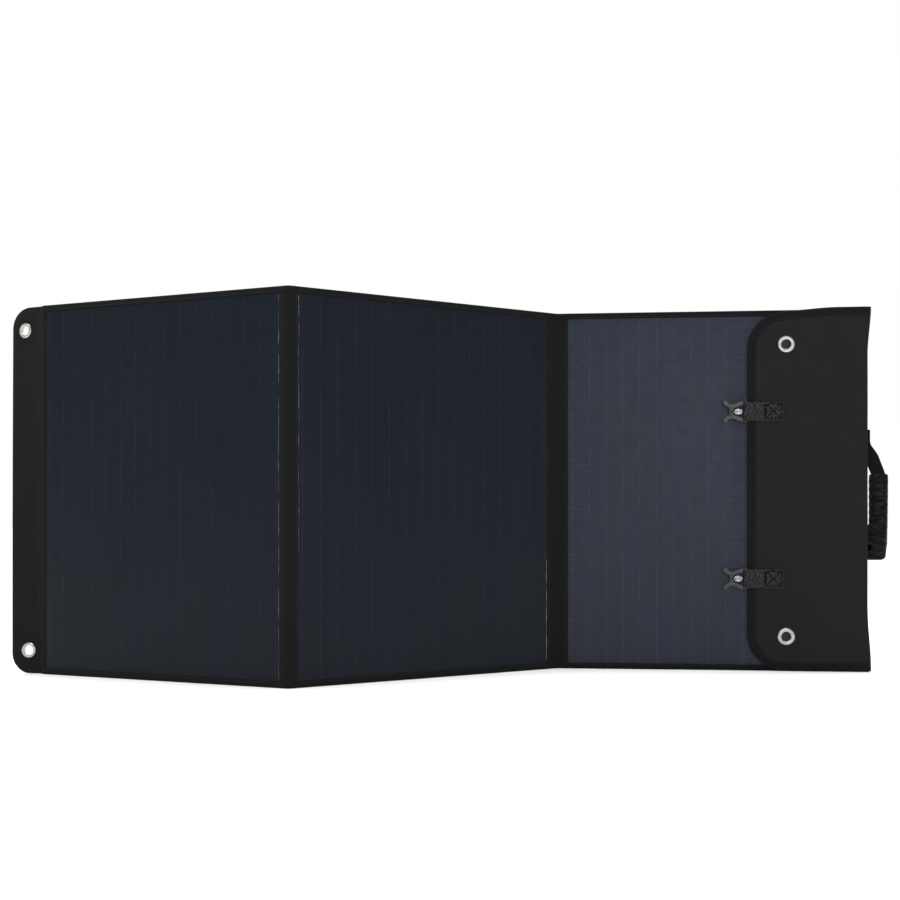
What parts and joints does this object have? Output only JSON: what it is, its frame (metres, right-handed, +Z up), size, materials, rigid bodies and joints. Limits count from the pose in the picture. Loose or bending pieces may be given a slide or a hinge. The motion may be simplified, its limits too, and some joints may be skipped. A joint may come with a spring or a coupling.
{
  "type": "folding solar panel",
  "caption": "Folding solar panel in a black cloth case, standing open as a zigzag, with dark laminates, a closure flap with clips, eyelets and a carrying handle.",
  "frame": {"origin": "on the floor, at the middle of the object's own floor box", "axes": "+Z up, +X along the right leaf and the length of the screen, -Y out of the right leaf's face towards the viewer"},
  "size_m": [1.1672, 0.24, 0.485],
  "materials": {
    "binding_tape": "black ribbed edge tape, matt",
    "stiffener": "stiff sheet, matt",
    "case_cloth": "black woven polyester, coated, matt",
    "nickel": "nickel plated, slightly dull",
    "face_cloth": "black woven polyester around the laminates, matt",
    "webbing": "charcoal woven webbing",
    "foam": "closed cell foam",
    "sleeve_cloth": "gathered black cloth sleeve",
    "box_plastic": "black moulded plastic, fine grain",
    "circuit": "green circuit board with parts",
    "bright_steel": "bright spring steel",
    "backsheet": "white laminate backing",
    "solar_cell": "dark blue silicon strips",
    "front_film": "dark navy front film over the cells, satin gloss",
    "lead": "flat insulated lead",
    "clip_plastic": "black moulded plastic, satin",
    "gland_rubber": "black rubber"
  },
  "bodies": {
    "leaf_2": {"leaf_2_back_cover": "case_cloth", "leaf_2_backsheet": "backsheet", "leaf_2_binding": "binding_tape", "leaf_2_board": "stiffener", "leaf_2_cells": "solar_cell", "leaf_2_front_film": "front_film", "leaf_2_lead": "lead", "leaf_2_side_strips": "face_cloth", "fold_a_cloth_right": "face_cloth", "fold_b_cloth_left": "face_cloth", "keeper_patches": "webbing", "keeper_studs": "bright_steel"},
    "leaf_1": {"leaf_1_back_cover": "case_cloth", "leaf_1_backsheet": "backsheet", "leaf_1_binding": "binding_tape", "leaf_1_board": "stiffener", "leaf_1_cells": "solar_cell", "leaf_1_front_film": "front_film", "leaf_1_lead": "lead", "leaf_1_side_strips": "face_cloth", "fold_a_cloth_left": "face_cloth"},
    "tail": {"tail_cloth": "case_cloth", "tail_eyelets": "nickel", "tail_washers": "nickel"},
    "leaf_3": {"leaf_3_back_cover": "case_cloth", "leaf_3_backsheet": "backsheet", "leaf_3_binding": "binding_tape", "leaf_3_board": "stiffener", "leaf_3_cells": "solar_cell", "leaf_3_front_film": "front_film", "leaf_3_lead": "lead", "leaf_3_side_strips": "face_cloth", "fold_b_cloth_right": "face_cloth", "spine_cloth": "case_cloth", "handle_anchors": "webbing", "junction_base": "box_plastic", "junction_lid": "box_plastic", "junction_screws": "bright_steel", "junction_circuit": "circuit", "output_gland": "gland_rubber"},
    "flap": {"flap_binding": "binding_tape", "flap_board": "stiffener", "flap_cover": "case_cloth", "flap_eyelets": "nickel", "flap_lining": "case_cloth", "flap_washers": "nickel", "upper_clip_tab": "webbing", "lower_clip_tab": "webbing"},
    "handle": {"handle_strap": "webbing", "handle_core": "foam", "handle_sleeve": "sleeve_cloth"},
    "upper_clip": {"upper_clip_yoke": "clip_plastic", "upper_clip_spring": "bright_steel"},
    "upper_lever_a": {"upper_clip_lever_a": "clip_plastic"},
    "upper_lever_b": {"upper_clip_lever_b": "clip_plastic"},
    "lower_clip": {"lower_clip_yoke": "clip_plastic", "lower_clip_spring": "bright_steel"},
    "lower_lever_a": {"lower_clip_lever_a": "clip_plastic"},
    "lower_lever_b": {"lower_clip_lever_b": "clip_plastic"}
  },
  "joints": [
    {"name": "fold_a", "type": "hinge", "parent": "leaf_2", "child": "leaf_1", "pos_m": [-0.17644, -0.11139, 0.2425], "axis": [0, 0, -1], "range_deg": [-50.8, 128.7]},
    {"name": "fold_b", "type": "hinge", "parent": "leaf_2", "child": "leaf_3", "pos_m": [0.13965, 0.09358, 0.2425], "axis": [0, 0, -1], "range_deg": [-35, 145]},
    {"name": "tail_fold", "type": "hinge", "parent": "leaf_1", "child": "tail", "pos_m": [-0.53404, -0.01987, 0.2425], "axis": [0, 0, 1], "range_deg": [0, 120]},
    {"name": "flap_fold", "type": "hinge", "parent": "leaf_3", "child": "flap", "pos_m": [0.55465, 0.09788, 0.2425], "axis": [0, 0, 1], "range_deg": [0, 180]},
    {"name": "handle_swing", "type": "hinge", "parent": "leaf_3", "child": "handle", "pos_m": [0.53445, 0.10658, 0.2055], "axis": [0, 0, 1], "range_deg": [0, 90]},
    {"name": "upper_clip_swing", "type": "hinge", "parent": "flap", "child": "upper_clip", "pos_m": [0.39165, 0.09258, 0.3485], "axis": [0, 0, 1], "range_deg": [0, 100]},
    {"name": "upper_clip_jaw_a", "type": "hinge", "parent": "upper_clip", "child": "upper_lever_a", "pos_m": [0.37265, 0.09173, 0.3531], "axis": [0, 1, 0], "range_deg": [0, 12], "stiffness_Nm_per_rad": 0.02, "springref_deg": -5.73},
    {"name": "upper_clip_jaw_b", "type": "hinge", "parent": "upper_clip", "child": "upper_lever_b", "pos_m": [0.37265, 0.09173, 0.3439], "axis": [0, 1, 0], "range_deg": [-12, 0], "stiffness_Nm_per_rad": 0.02, "springref_deg": 5.73},
    {"name": "lower_clip_swing", "type": "hinge", "parent": "flap", "child": "lower_clip", "pos_m": [0.39165, 0.09258, 0.124], "axis": [0, 0, 1], "range_deg": [0, 100]},
    {"name": "lower_clip_jaw_a", "type": "hinge", "parent": "lower_clip", "child": "lower_lever_a", "pos_m": [0.37265, 0.09173, 0.1286], "axis": [0, 1, 0], "range_deg": [0, 12], "stiffness_Nm_per_rad": 0.02, "springref_deg": -5.73},
    {"name": "lower_clip_jaw_b", "type": "hinge", "parent": "lower_clip", "child": "lower_lever_b", "pos_m": [0.37265, 0.09173, 0.1194], "axis": [0, 1, 0], "range_deg": [-12, 0], "stiffness_Nm_per_rad": 0.02, "springref_deg": 5.73}
  ],
  "couplings": [
    {"joint": "upper_clip_jaw_b", "follows": "upper_clip_jaw_a", "ratio": -1},
    {"joint": "lower_clip_jaw_b", "follows": "lower_clip_jaw_a", "ratio": -1}
  ]
}
